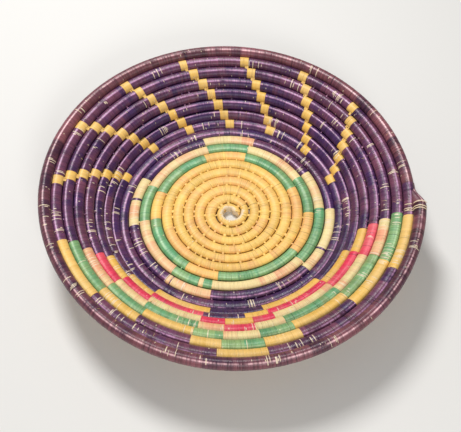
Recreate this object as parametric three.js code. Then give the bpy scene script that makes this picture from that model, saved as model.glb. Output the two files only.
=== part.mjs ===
// Coiled bowl basket in millimetres, +Z up, resting on Z = 0.
// One long grass bundle winds outward in a spiral, and dyed leaf strands wrap it closely.
// +X points at the side where the coil ends, and azimuth runs anticlockwise seen from above.
import * as THREE from 'three';

// Driving dimensions
const hole_radius = 6.3;         // open eye that the first turn is bent around
const start_coil = 3.8;          // diameter of the wrapped coil where it starts
const floor_coil = 9.3;          // diameter of the wrapped coil in the floor
const wall_coil = 9.9;           // diameter of the wrapped coil in the wall and rim
const row_gap = 0.5;             // space from one turn to the next
const wrap_thickness = 1.1;      // leaf strands around the bundle
const wrap_clearance = 0.35;     // bundle to the inside of its wrapping
const run_gap = 0.3;             // end of one wrapped run to the start of the next
const tail_length = 35;          // taper at the outer end of the coil
const tail_tip = 2.4;            // diameter of the tail where it runs out

// Turns of the coil, counted from the azimuth of +X
const first_turn = -0.79;
const last_turn = 16.975;
const coil_grows_from = 9;       // between these turns the coil thickens from floor to wall
const coil_grows_to = 11;

// Slope of the bowl's surface in degrees, at a number of turns from the middle
const bowl_profile = [
  [0, 0],
  [9.0, 0],
  [9.6, 23],
  [10.8, 58],
  [12.5, 42],
  [14.0, 38],
  [15.5, 25],
  [16.5, 26],
  [17.5, 60],
];

// Counts
const steps_per_turn = 24;
const sides = 6;
const profile_steps = 48;        // steps in a turn while the bowl's surface is worked out
const tail_steps = 3;
const gap_points = 4;            // points along a step and a side while gaps are measured

const floor_flat = floor_coil / 10;   // worn flat underneath, where the basket stands

const dyes = {
  straw: { color: 0xb99a5b, roughness: 0.9 },
  natural: { color: 0xe0b565, roughness: 0.6 },
  cream: { color: 0xe8d296, roughness: 0.6 },
  green: { color: 0x4f9a74, roughness: 0.55 },
  pink: { color: 0xd83a5c, roughness: 0.55 },
  purple: { color: 0x3d2b4f, roughness: 0.45 },
  plum: { color: 0x5a3342, roughness: 0.5 },
};

// Wrapped runs from the middle outward, each up to the start of the next:
// name, dye, full turns before it starts, and the azimuth where it starts
const runs = [
  ['start_wrap', 'natural', first_turn, 0],
  ['turn_01_natural', 'natural', 0, 0],
  ['turn_02_natural', 'natural', 1, 0],
  ['turn_03_natural', 'natural', 2, 0],
  ['turn_04_natural', 'natural', 3, 0],
  ['turn_05_natural', 'natural', 4, 0],
  ['turn_06_green_a', 'green', 5, 23],
  ['turn_06_natural_a', 'natural', 5, 76],
  ['turn_06_green_b', 'green', 5, 112],
  ['turn_06_natural_b', 'natural', 5, 162],
  ['turn_06_green_c', 'green', 5, 188],
  ['turn_06_natural_c', 'natural', 5, 237],
  ['turn_06_green_d', 'green', 5, 262],
  ['turn_06_natural_d', 'natural', 5, 323],
  ['turn_07_green_a', 'green', 5, 358],
  ['turn_07_cream_a', 'cream', 6, 29],
  ['turn_07_green_b', 'green', 6, 76],
  ['turn_07_cream_b', 'cream', 6, 108],
  ['turn_07_green_c', 'green', 6, 160],
  ['turn_07_cream_c', 'cream', 6, 188],
  ['turn_07_green_d', 'green', 6, 232],
  ['turn_07_cream_d', 'cream', 6, 259],
  ['turn_07_green_e', 'green', 6, 320],
  ['turn_08_cream_a', 'cream', 7, 2],
  ['turn_08_purple_a', 'purple', 7, 30],
  ['turn_08_cream_b', 'cream', 7, 73],
  ['turn_08_purple_b', 'purple', 7, 108],
  ['turn_08_cream_c', 'cream', 7, 156],
  ['turn_08_purple_c', 'purple', 7, 191],
  ['turn_08_cream_d', 'cream', 7, 232],
  ['turn_08_purple_d', 'purple', 7, 259],
  ['turn_08_cream_e', 'cream', 7, 318],
  ['turn_09_purple_a', 'purple', 8, 1],
  ['turn_09_purple_b', 'purple', 8, 183],
  ['turn_10_purple', 'purple', 9, 0],
  ['turn_10_band', 'natural', 9, 234],
  ['turn_11_purple', 'purple', 9, 316],
  ['turn_11_band', 'pink', 10, 221],
  ['turn_12_purple', 'purple', 10, 334],
  ['turn_12_band', 'cream', 11, 210],
  ['turn_13_purple', 'purple', 11, 344],
  ['turn_13_band', 'pink', 12, 208],
  ['turn_14_purple', 'purple', 12, 346],
  ['turn_14_band', 'cream', 13, 206],
  ['turn_15_purple', 'purple', 13, 347],
  ['turn_15_band', 'green', 14, 203],
  ['turn_16_purple', 'purple', 14, 349],
  ['turn_16_band', 'natural', 15, 202],
  ['turn_17_rim_a', 'plum', 15, 348],
  ['turn_17_rim_b', 'plum', 16, 120],
  ['turn_17_rim_c', 'plum', 16, 240],
];

// The bowl's surface, as radius, height and slope at every profile step outward
function coilFarFrom(middleTurns) {
  const grown = THREE.MathUtils.smoothstep(middleTurns, coil_grows_from, coil_grows_to);
  return THREE.MathUtils.lerp(floor_coil, wall_coil, grown);
}

function slopeAt(turns) {
  const next = bowl_profile.findIndex(([knot]) => knot > Math.max(turns, 0));
  if (next < 0) {
    return THREE.MathUtils.degToRad(bowl_profile.at(-1)[1]);
  }
  const [from, low] = bowl_profile[next - 1];
  const [to, high] = bowl_profile[next];
  return THREE.MathUtils.degToRad(THREE.MathUtils.mapLinear(turns, from, to, low, high));
}

const floor_pitch = floor_coil + row_gap;
const surface = [{
  radius: hole_radius + start_coil + row_gap / 2 - floor_pitch * (1 + first_turn),
  height: floor_coil / 2 - floor_flat,
}];
for (let step = 0; step < (last_turn + 2) * profile_steps; step += 1) {
  const turns = (step + 0.5) / profile_steps;
  const width = (coilFarFrom(turns) + row_gap) / profile_steps;
  const { radius, height } = surface[step];
  surface.push({
    radius: radius + width * Math.cos(slopeAt(turns)),
    height: height + width * Math.sin(slopeAt(turns)),
  });
}

function surfaceAt(turns) {
  const step = Math.max(Math.floor(turns * profile_steps), 0);
  const share = turns * profile_steps - step;
  return {
    radius: THREE.MathUtils.lerp(surface[step].radius, surface[step + 1].radius, share),
    height: THREE.MathUtils.lerp(surface[step].height, surface[step + 1].height, share),
  };
}

// The coil is thinner only where it starts, between the eye and the turn outside it
function coilAt(turn) {
  const room = surfaceAt(Math.max(turn + 1, 0)).radius - row_gap / 2 - hole_radius;
  return turn < 0 ? Math.min(floor_coil, room) : coilFarFrom(turn + 0.5);
}

// Centre of the coil with its two section directions, outward along the bowl and up from it
function stationAt(turn) {
  const coil = coilAt(turn);
  const pitch = coilFarFrom(Math.max(turn, 0) + 0.5) + row_gap;
  const middle = turn + 1 - (coil + row_gap) / 2 / pitch;
  const { radius, height } = surfaceAt(middle);
  const slope = slopeAt(middle);
  const azimuth = turn * 2 * Math.PI;
  const away = new THREE.Vector3(Math.cos(azimuth), Math.sin(azimuth), 0);
  const up = new THREE.Vector3(0, 0, 1);
  return {
    coil,
    centre: away.clone().multiplyScalar(radius).addScaledVector(up, height),
    outward: away.clone().multiplyScalar(Math.cos(slope)).addScaledVector(up, Math.sin(slope)),
    upward: up.clone().multiplyScalar(Math.cos(slope)).addScaledVector(away, -Math.sin(slope)),
  };
}

// Between two stations the coil runs straight, so every layer and turn has the same facets
function facetedStation(turn) {
  const step = Math.floor(turn * steps_per_turn + 1e-9);
  const share = turn * steps_per_turn - step;
  const here = stationAt(step / steps_per_turn);
  const next = stationAt((step + 1) / steps_per_turn);
  return {
    coil: THREE.MathUtils.lerp(here.coil, next.coil, share),
    centre: here.centre.lerp(next.centre, share),
    outward: here.outward.lerp(next.outward, share),
    upward: here.upward.lerp(next.upward, share),
  };
}

// Six corners around a station, a layer's depth inside the coil's skin, none below the floor
function ringAt(station, depth) {
  const size = station.coil / 2 - depth;
  const corners = [];
  for (let side = 0; side < sides; side += 1) {
    const angle = (side * 2 * Math.PI) / sides;
    corners.push(station.centre.clone()
      .addScaledVector(station.outward, size * Math.cos(angle))
      .addScaledVector(station.upward, size * Math.sin(angle)));
  }
  return corners.map((corner, side) => {
    if (corner.z >= 0) {
      return corner;
    }
    const beside = [corners[(side + 1) % sides], corners[(side + sides - 1) % sides]];
    const higher = beside[0].z > beside[1].z ? beside[0] : beside[1];
    return corner.clone().lerp(higher, corner.z / (corner.z - higher.z));
  });
}

// Turns where a run has a ring: its two ends and every station between them
function ringTurns(from, to) {
  const turns = [from];
  for (let step = Math.ceil(from * steps_per_turn); step < to * steps_per_turn; step += 1) {
    const turn = step / steps_per_turn;
    if (turn - from > 1e-4 && to - turn > 1e-4) {
      turns.push(turn);
    }
  }
  return [...turns, to];
}

function ringsBetween(from, to, depth) {
  return ringTurns(from, to).map((turn) => ringAt(facetedStation(turn), depth));
}

// A skin of triangles through a row of rings, turned inward for a bore
class Skin {
  constructor() {
    this.positions = [];
    this.triangles = [];
  }

  addRing(ring) {
    const first = this.positions.length / 3;
    ring.forEach((corner) => this.positions.push(corner.x, corner.y, corner.z));
    return first;
  }

  addWall(rings, inward) {
    const firsts = rings.map((ring) => this.addRing(ring));
    for (let step = 0; step + 1 < firsts.length; step += 1) {
      this.addBand(firsts[step], firsts[step + 1], inward);
    }
    return [firsts[0], firsts.at(-1)];
  }

  addBand(here, next, inward) {
    for (let side = 0; side < sides; side += 1) {
      const beside = (side + 1) % sides;
      const faces = [
        [here + side, here + beside, next + beside],
        [here + side, next + beside, next + side],
      ];
      faces.forEach((face) => this.triangles.push(...(inward ? face : face.reverse())));
    }
  }

  addCap(first, atStart) {
    for (let side = 1; side + 1 < sides; side += 1) {
      const face = [first, first + side, first + side + 1];
      this.triangles.push(...(atStart ? face : face.reverse()));
    }
  }

  toGeometry() {
    const geometry = new THREE.BufferGeometry();
    geometry.setAttribute('position', new THREE.Float32BufferAttribute(this.positions, 3));
    geometry.setIndex(this.triangles);
    geometry.computeVertexNormals();
    return geometry;
  }
}

function solidTube(rings) {
  const skin = new Skin();
  const [start, end] = skin.addWall(rings, false);
  skin.addCap(start, true);
  skin.addCap(end, false);
  return skin.toGeometry();
}

function sleeve(outer, bore) {
  const skin = new Skin();
  const [outerStart, outerEnd] = skin.addWall(outer, false);
  const [boreStart, boreEnd] = skin.addWall(bore, true);
  skin.addBand(outerStart, boreStart, true);
  skin.addBand(outerEnd, boreEnd, false);
  return skin.toGeometry();
}

function meshOf(name, dye, geometry) {
  const mesh = new THREE.Mesh(geometry, new THREE.MeshStandardMaterial({ ...dyes[dye], metalness: 0 }));
  mesh.name = name;
  return mesh;
}

// Grass bundle, one unbroken tube from the eye to the tail
const core_depth = wrap_thickness + wrap_clearance;

function foundationCoil() {
  return meshOf('foundation_coil', 'straw', solidTube(ringsBetween(first_turn, last_turn, core_depth)));
}

// Share of a turn that a length along the coil takes
function turnsIn(length, turn) {
  return length / (2 * Math.PI * surfaceAt(turn + 0.5).radius);
}

function wrappedRun([name, dye, turn, azimuth], index) {
  const next = runs[index + 1];
  const start = turn + azimuth / 360;
  const end = next ? next[2] + next[3] / 360 : last_turn;
  const from = start + (index > 0 ? turnsIn(run_gap / 2, start) : 0);
  const to = end - (next ? turnsIn(run_gap / 2, end) : 0);
  return meshOf(name, dye, sleeve(ringsBetween(from, to, 0), ringsBetween(from, to, wrap_thickness)));
}

// The tail narrows against the turn inside it
function tail() {
  const from = last_turn + turnsIn(run_gap, last_turn);
  const rings = [];
  for (let step = 0; step <= tail_steps; step += 1) {
    const share = step / tail_steps;
    const station = facetedStation(from + turnsIn(tail_length, last_turn) * share);
    const coil = THREE.MathUtils.lerp(station.coil, tail_tip, share);
    station.centre.addScaledVector(station.outward, (coil - station.coil) / 2);
    station.coil = coil;
    rings.push(ringAt(station, 0));
  }
  return meshOf('tail_wrap', 'plum', solidTube(rings));
}

// Least distance from each point of a layer to the layer one turn further out
function leastRowGap(depth) {
  let least = Infinity;
  const points = (turn) => {
    const ring = ringAt(facetedStation(turn), depth);
    return ring.flatMap((corner, side) => {
      const next = ring[(side + 1) % sides];
      return Array.from({ length: gap_points }, (_, k) => corner.clone().lerp(next, k / gap_points));
    });
  };
  const step = 1 / steps_per_turn / gap_points;
  for (let turn = first_turn; turn + 1 <= last_turn; turn += step) {
    const outside = [-step, 0, step].flatMap((shift) => points(Math.min(turn + 1 + shift, last_turn)));
    for (const point of points(turn)) {
      for (const other of outside) {
        least = Math.min(least, point.distanceTo(other));
      }
    }
  }
  return least;
}

function bundleLength() {
  const turns = ringTurns(first_turn, last_turn);
  const centres = turns.map((turn) => facetedStation(turn).centre);
  return centres.slice(1).reduce((sum, centre, k) => sum + centre.distanceTo(centres[k]), 0);
}

console.log(`foundation_coil: least gap to itself ${leastRowGap(core_depth).toFixed(2)} mm`);
console.log(`wrapped coil: least gap from turn to turn ${leastRowGap(0).toFixed(2)} mm`);
console.log(`foundation_coil: ${(bundleLength() / 1000).toFixed(2)} m long`);

const coil = new THREE.Group();
coil.add(foundationCoil(), ...runs.map(wrappedRun), tail());

// The origin is under the middle of the whole basket's outline
const outline = new THREE.Box3().setFromObject(coil);
const middle = outline.getCenter(new THREE.Vector3());
coil.position.set(-middle.x, -middle.y, 0);

const basket = new THREE.Group();
basket.add(coil);

export default basket;
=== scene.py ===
"""Coiled bowl basket: a grass bundle wound in a spiral and wrapped in dyed leaf strands.

Lengths are in metres. A place on the coil is told in turns, counted from the azimuth of +X and
anticlockwise seen from above: turn 3.25 is a quarter turn into the fourth row from the middle.
"""
import math

import bpy
import numpy as np
from bpy.props import FloatProperty, FloatVectorProperty, IntProperty, PointerProperty
from mathutils import Matrix, Vector


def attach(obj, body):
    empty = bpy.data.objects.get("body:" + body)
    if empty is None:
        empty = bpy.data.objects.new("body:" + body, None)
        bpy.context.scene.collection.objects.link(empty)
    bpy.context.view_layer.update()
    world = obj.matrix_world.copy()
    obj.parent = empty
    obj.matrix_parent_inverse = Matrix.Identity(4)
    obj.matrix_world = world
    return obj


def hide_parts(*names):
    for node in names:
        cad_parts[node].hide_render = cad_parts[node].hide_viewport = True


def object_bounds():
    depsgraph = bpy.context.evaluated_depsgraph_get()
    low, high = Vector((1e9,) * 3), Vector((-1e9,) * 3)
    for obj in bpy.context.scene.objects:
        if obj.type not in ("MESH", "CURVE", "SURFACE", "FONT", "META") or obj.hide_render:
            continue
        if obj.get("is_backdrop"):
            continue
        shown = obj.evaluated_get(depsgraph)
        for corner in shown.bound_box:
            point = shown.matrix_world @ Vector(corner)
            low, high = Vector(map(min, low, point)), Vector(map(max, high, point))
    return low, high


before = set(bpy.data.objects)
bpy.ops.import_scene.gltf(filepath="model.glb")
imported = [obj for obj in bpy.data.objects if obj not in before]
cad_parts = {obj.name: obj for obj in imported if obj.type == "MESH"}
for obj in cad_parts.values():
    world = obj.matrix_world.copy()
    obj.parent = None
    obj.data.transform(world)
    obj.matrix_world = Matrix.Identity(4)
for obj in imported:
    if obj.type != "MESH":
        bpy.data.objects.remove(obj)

bl_info = {
    "name": "Coiled bowl basket",
    "version": (1, 0, 0),
    "blender": (4, 5, 0),
    "location": "View3D > Sidebar > Basket",
    "description": "Makes a coiled grass basket wrapped in dyed leaf strands",
    "category": "Add Mesh",
}

MM = 0.001
TAU = 2 * np.pi
CAD_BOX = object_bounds()

# The spiral's middle in the part's frame, and the turns that the coil starts and ends at
AXIS = (0.0581 * MM, 2.1085 * MM)
FIRST_TURN = -1.085
LAST_TURN = 16.975
GROWS_FROM, GROWS_TO = 9, 11        # turns over which it grows thicker and rounder

# Slope of the bowl's surface in degrees, at a number of turns from the middle
BOWL_PROFILE = [(0, 0), (9.0, 0), (9.6, 23), (10.8, 58), (12.5, 42), (14.0, 38), (15.5, 25),
                (16.5, 26), (17.5, 60)]

# Radius in millimetres by turn: the edge of the eye, which is a teardrop with its tip where the
# coil starts, and the first line between two turns, before the hand's waves
EYE_LINE = [(-1.085, 10.5), (-1.06, 5.0), (-1.03, 2.4), (-0.87, 1.8), (-0.66, 2.2), (-0.56, 3.4),
            (-0.47, 5.4), (-0.39, 7.1), (-0.28, 9.6), (-0.17, 10.6), (-0.085, 10.5), (0, 10.5)]
START_LINE = [(0, 8.8), (0.08, 9.7), (0.14, 10.9), (0.26, 13.2), (0.37, 13.4), (0.47, 12.6),
              (0.6, 13.1), (0.68, 13.3), (0.75, 14.1), (0.83, 14.8), (0.93, 16.2), (1.0, 17.8),
              (1.1, 18.9), (1.25, 20.5)]

# How the maker's hand leaves the true spiral: millimetres outward, waves in a turn, azimuth of
# a crest in degrees, the turn where it is strongest, and how many turns it fades over
HAND_WAVES = [
    (3.2, 1, -58, 0, 1.0),
    (2.0, 1, -90, 0, 4.5),
    (2.04, 2, 9.9, 8, 3.0),
    (0.37, 3, -27.9, 8, 3.0),
    (0.27, 1, 90, 8, 3.0),
    (1.83, 2, 125, 17.3, 3.0),
    (0.44, 3, 41, 17.3, 3.0),
]

# The coil's shape
START_ROUNDING = 0.03       # turns over which the corners of the first line are rounded
SLACK_FROM = 100            # azimuth in degrees where the seams are drawn tight
SEAM_WAVES = (5.3, 2.9)     # waves in a turn whose product makes the seams waver
SEAM_WAVER = (0.55, 0.45)   # how open a slack seam is on average, and how much that wavers
EYE_SEAM = 1.2              # how open the seam around the eye is
SEAMS_FROM, SEAMS_TO = 8, 10        # turns over which the seams draw tight towards the wall
SEAMS_TIGHT = 0.85          # share of the slack that the wall's seams lack
SURFACE_STEPS = 48          # steps in a turn while the bowl's surface is worked out
SECTION_POWER = 2.25        # 2 is an ellipse, more is squarer
FLOOR_POWER = 0.6           # how much squarer the pressed turns of the floor are
THINNEST = 0.8 * MM         # least width of the coil, around the eye
EYE_ROUND = (1.5, 0.3)      # thickness around the eye: most against its width, least of its own
SOFT_FLOOR = 0.35 * MM      # how roundly the underside flattens on the table

# The mesh
SIDES = 16                  # points around the wrapped coil
STRAND_RINGS = (0.0, 0.22, 0.78)    # rings of a strand, in shares of its width: groove and crown
BORE_EVERY = 8              # strands between two rings of the bore
SLEEVE_TRIM = 0.04          # share of a strand's width that a sleeve is short by at each end
LENGTH_STEPS = 20001        # points along the coil while its length is measured
RIBBON_FLAT = 0.55          # share of a ribbon's width that is flat
RIBBON_SHIFT, RIBBON_HALF = 7 * MM, 0.5 * MM    # from one to the next, and half width, in UV
RIBBON_LENGTH = 0.3         # its length in UV, in girths
CORE_SIDES = 12             # points around the grass bundle
CORE_STEPS = 60             # stations in a turn of the grass bundle
STEM_LOBE = 0.2 * MM        # how far the stems stand out on the bundle
STEM_LOBES = 6              # stems seen around it
STEM_TWISTS = 20            # twists in a turn
STEM_STARTS = 0.06          # turns that the bundle starts behind its wrap
STEM_UV = 0.3               # metres of a turn in the UV map
GIRTH = 30 * MM             # length that one trip around the coil takes in the UV map

# The strands, of which many come from one leaf with one tone and one fading
SEED = 29
STRAND_SPREAD = 0.2         # how much the widths of strands vary
WIDEST_DRAW = 2             # most that a strand's width may stray, in that measure
NEW_LEAF = 0.07             # share of the strands where a new leaf starts
LEAF_TONE = 0.6             # how much a leaf's tone varies, and each strand's
LEAF_FADE = 0.45            # how much a leaf's fading varies
STRAND_FADE = 0.15          # how much a strand's fading varies, and the least that all have
RIM_FADE = 0.6              # what the fading grows by from the foot of the wall to the rim
FADES_FROM, FADES_TO = 9.5, 16.5
PROUD = (-0.06 * MM, 0.05 * MM)     # how far a strand lies above or below its neighbours

# Wear of the strands, and the side that carries the painted highlight. Lengths around the coil are
# in shares of its girth
HIGHLIGHT_FROM = np.radians(69)        # how steeply the side with the painted highlight faces up
EYE_ENDS = 0.01             # turn up to which the strands bound the eye
NICK_CLUSTERS = 180         # places where neighbouring strands have worn pale
CLUSTERS_FROM = 7           # first turn that has them
NICKS_NEAR = 0.6            # share by which more of them lie towards -Y and fewer towards +Y
CLUSTER_REACH = 8           # most strands from a cluster's middle one to its last, with both
RUNG_SHARE = 0.30           # share of a cluster's strands that have a long nick
WIDE_SHARE = 0.08           # share of these that are worn over their whole width
DOT_SHARES = (0.01, 0.04)   # share of strands with a dot, in the floor and outside it
RUNG_PLACES, RUNG_SIZES = (0.0, 0.12), (0.03, 0.17)     # past the side with the painted highlight, and half length
DOT_PLACES, DOT_SIZES = (-0.08, 0.2), (0.008, 0.03)
EYE_LIGHT_PLACE, EYE_LIGHT_SIZES = 0.5, (0.19, 0.25)                # painted light on the eye's inner side: place around the coil, and half length
SPLIT_DEPTHS = (2.0, 5.0)   # how dark the groove of a split strand is

# Stitches
STITCH_STEPS = 7            # points along a stitch
STITCH_DRAWS = 2000         # more than the coil has room for
STITCH_SPACING = (5 * MM, 8 * MM)
STITCH_STRAYS = 4 * MM      # mean of what strays on top of that spacing
STITCH_SUNK = 0.45 * MM     # how deep the ends of a stitch lie
STITCH_DEPTH = 0.3 * MM     # half of its thickness
STITCH_DIP = 0.5            # height over the seam's middle that it is drawn to, in half coils
STITCH_SLIPS = (-0.3, 0.6)  # how far it slants along the coil, in widths of a stitch
STITCH_WIDTHS = (0.6, 1.3)  # how much their widths vary
STITCH_TAPER = 0.3          # how much narrower its ends are
STITCH_DARK = 0.2           # how much darker its tone is than its strand's
MIDDLE_STITCH = 1.8         # how much wider those of the floor's middle are
LINK_PLACES = (0.35, 1.2, 2.05)     # from the start of a bar's block, in widths of a stitch
WALL_STITCHES = 0.33        # share of the wall's stitches that show
EYE_STITCHES = 1.2          # first turn with stitches on the underside
OUTER_SHOULDER, INNER_SHOULDER = (124, 134), (46, 56)     # degrees around the coil

# Dyes, in the order of their numbers
DYES = ["natural", "gold", "cream", "green", "pink", "purple", "plum"]
NATURAL, GOLD, CREAM, GREEN, PINK, PURPLE, PLUM = range(len(DYES))
SPLIT_SHARES = np.array([0.10, 0.06, 0.22, 0.05, 0.05, 0.10, 0.10])     # split strands, by dye

# Rows of the floor's star: row, azimuth where the dye starts and ends, dye
STAR = [
    (5, 23, 76.5, GREEN), (5, 112.5, 162.5, GREEN), (5, 188.5, 237, GREEN),
    (5, 262, 323.5, GREEN), (5, 358.3, 360, GREEN), (6, 0, 360, GREEN),
    (6, 29.2, 75.7, CREAM), (6, 107.5, 160, CREAM), (6, 188.5, 232.2, CREAM),
    (6, 250, 253.2, CREAM), (6, 259, 320.3, CREAM),
    (7, 0, 1.7, GREEN), (7, 1.7, 30, CREAM), (7, 73.3, 108, CREAM), (7, 156.3, 191, CREAM),
    (7, 232, 259, CREAM), (7, 318.3, 360, CREAM), (8, 0, 1.2, CREAM),
    (7, 171.5, 173.2, PURPLE), (7, 234.3, 235.5, PURPLE), (7, 332.7, 334.5, PURPLE),
]
STAR_ROWS = (5, 8)

# Stepped band: outermost row of each block, then the azimuths where its rows start and where
# they end, from the outermost row inward
BAND_COLOURS = [GOLD, GREEN, CREAM, PINK, GOLD]
BAND_BLOCKS = [
    (15, (202.2, 202.8, 206, 208.5, 209.7), (224.8, 224.2, 223.5, 223, 222.3)),
    (14, (224.2, 223.5, 223, 222.3, 221), (240, 239.5, 237.5, 236, 235)),
    (13, (239.5, 237.5, 236, 235, 234), (258, 258.7, 258.7, 258.7, 260.7)),
    (14, (258.1, 258, 258.7, 258.7, 262), (267.7, 267.8, 268, 268.2, 262)),
    (15, (266.4, 267.7, 267.8, 268, 268.2), (281, 280.8, 280.2, 279.5, 279)),
    (14, (280.8, 280.2, 279.5, 279, 276.7), (292.3, 291.5, 290, 287.7, 286.5)),
    (13, (291.5, 290, 287.7, 286.5, 285.5), (312.2, 313.3, 314, 315, 316)),
    (14, (311.8, 312.2, 313.3, 314, 315), (330, 331.5, 331, 332.7, 333.5)),
    (15, (328, 330, 331.5, 331, 332.7), (347.8, 348.8, 347, 345.7, 344.2)),
]

# Slanting bars on the purple side of the wall, one block to a row
BAR_ROWS = (9, 15)
BAR_STARTS = 17.0           # azimuth of the first bar's innermost block
BAR_SPACING = 23.5
BAR_COUNT = 7
BAR_WIDTH = 8.5 * MM        # length of a block along the coil
BAR_STEP = 3.1              # degrees from one row's block to the next one's


def linear(code):
    """The scene colour of a colour written as on a paint chart, such as #e0b565."""
    parts = [int(code[i:i + 2], 16) / 255 for i in (1, 3, 5)]
    return tuple(c / 12.92 if c <= 0.04045 else ((c + 0.055) / 1.055) ** 2.4 for c in parts)


def length_prop(name, text, millimetres):
    """A length that a user may change. It starts at a number of millimetres."""
    return FloatProperty(name=name, description=text, default=millimetres * MM, min=0,
                         unit="LENGTH", precision=5)


def colour_prop(name, text, code):
    """A colour that a user may change."""
    return FloatVectorProperty(name=name, description=text, default=linear(code), min=0, max=1,
                               size=3, subtype="COLOR")


class BasketSizes(bpy.types.PropertyGroup):
    """Sizes of the coil and of the strands that wrap it."""

    start_radius: length_prop("Start radius", "Radius that the true spiral starts from", 8.292)
    start_height: length_prop("Coil height", "Height of the coil's middle in the floor", 3.72)
    floor_coil: length_prop("Floor coil", "Thickness of the wrapped coil in the floor", 9.3)
    wall_coil: length_prop("Wall coil", "Thickness of the wrapped coil in the wall", 9.9)
    row_gap: length_prop("Row gap", "Room between two turns before they are wrapped", 0.5)
    seam: length_prop("Seam", "Seam between two turns where they are drawn tight", 0.05)
    press: length_prop("Press", "How far two turns of the wall press into each other", 0.35)
    slack: length_prop("Slack", "What the seam opens by where the turns are slack", 0.65)
    wrap: length_prop("Wrap", "Thickness of the leaf strands around the bundle", 1.1)
    clearance: length_prop("Clearance", "From the bundle to the inside of its wrap", 0.35)
    strand: length_prop("Strand", "Width of one leaf strand", 1.15)
    relief: length_prop("Strand relief", "Depth of the groove between two strands", 0.16)
    lean: length_prop("Strand lean", "How far a strand leans along the coil", 0.5)
    stitch: length_prop("Stitch", "Width of a stitch that binds two turns", 1.5)
    tail: length_prop("Tail", "Length of the taper where the coil ends", 25)
    tail_tip: length_prop("Tail tip", "Width of the tail where it runs out", 0.2)
    slivers: IntProperty(name="Slivers", description="Loose fibres that stand off the strands",
                         default=150, min=0)


class BasketDyes(bpy.types.PropertyGroup):
    """Colours of the leaf strands and of the grass."""

    natural: colour_prop("Natural", "Undyed golden leaf of the floor", "#f7cb6c")
    gold: colour_prop("Gold", "Golden leaf of the band and the bars", "#f4c25c")
    cream: colour_prop("Cream", "Pale undyed leaf", "#f4dd9e")
    green: colour_prop("Green", "Green dyed leaf", "#63a271")
    pink: colour_prop("Pink", "Pink-red dyed leaf", "#e9345a")
    purple: colour_prop("Purple", "Dark purple dyed leaf", "#412554")
    plum: colour_prop("Plum", "Red-brown leaf of the rim", "#43223d")
    straw: colour_prop("Straw", "Dry grass of the bundle", "#b99a5b")
    # Also the colour of the painted light on the eye's inner side
    pale: colour_prop("Pale leaf", "Bare leaf where the dye has worn off", "#f6e2c2")


class BasketStage(bpy.types.PropertyGroup):
    """Camera, lamps and floor."""

    distance: length_prop("Distance", "From the camera to the middle of the basket", 630)
    elevation: FloatProperty(name="Elevation", description="Camera's height above the level",
                             default=math.radians(58.328), subtype="ANGLE")
    roll: FloatProperty(name="Roll", description="Tilt of the picture",
                        default=math.radians(-0.097), subtype="ANGLE")
    lens: FloatProperty(name="Lens", description="Focal length in millimetres", default=52.646)
    lamp: FloatProperty(name="Key lamp", description="Power of the lamp behind the basket",
                        default=12.8, unit="POWER")
    fill: FloatProperty(name="Fill", description="Strength of the light from all round",
                        default=0.25)
    floor: colour_prop("Floor", "Plain pale floor", "#e9e7e3")


def smoothstep(value, low, high):
    """0 below low, 1 above high, and an even curve between."""
    share = np.clip((value - low) / (high - low), 0, 1)
    return share * share * (3 - 2 * share)


def bowl_slope(turns):
    """Slope of the bowl's surface in degrees, on straight lines between its given points."""
    return np.interp(turns, *zip(*BOWL_PROFILE))


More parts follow.
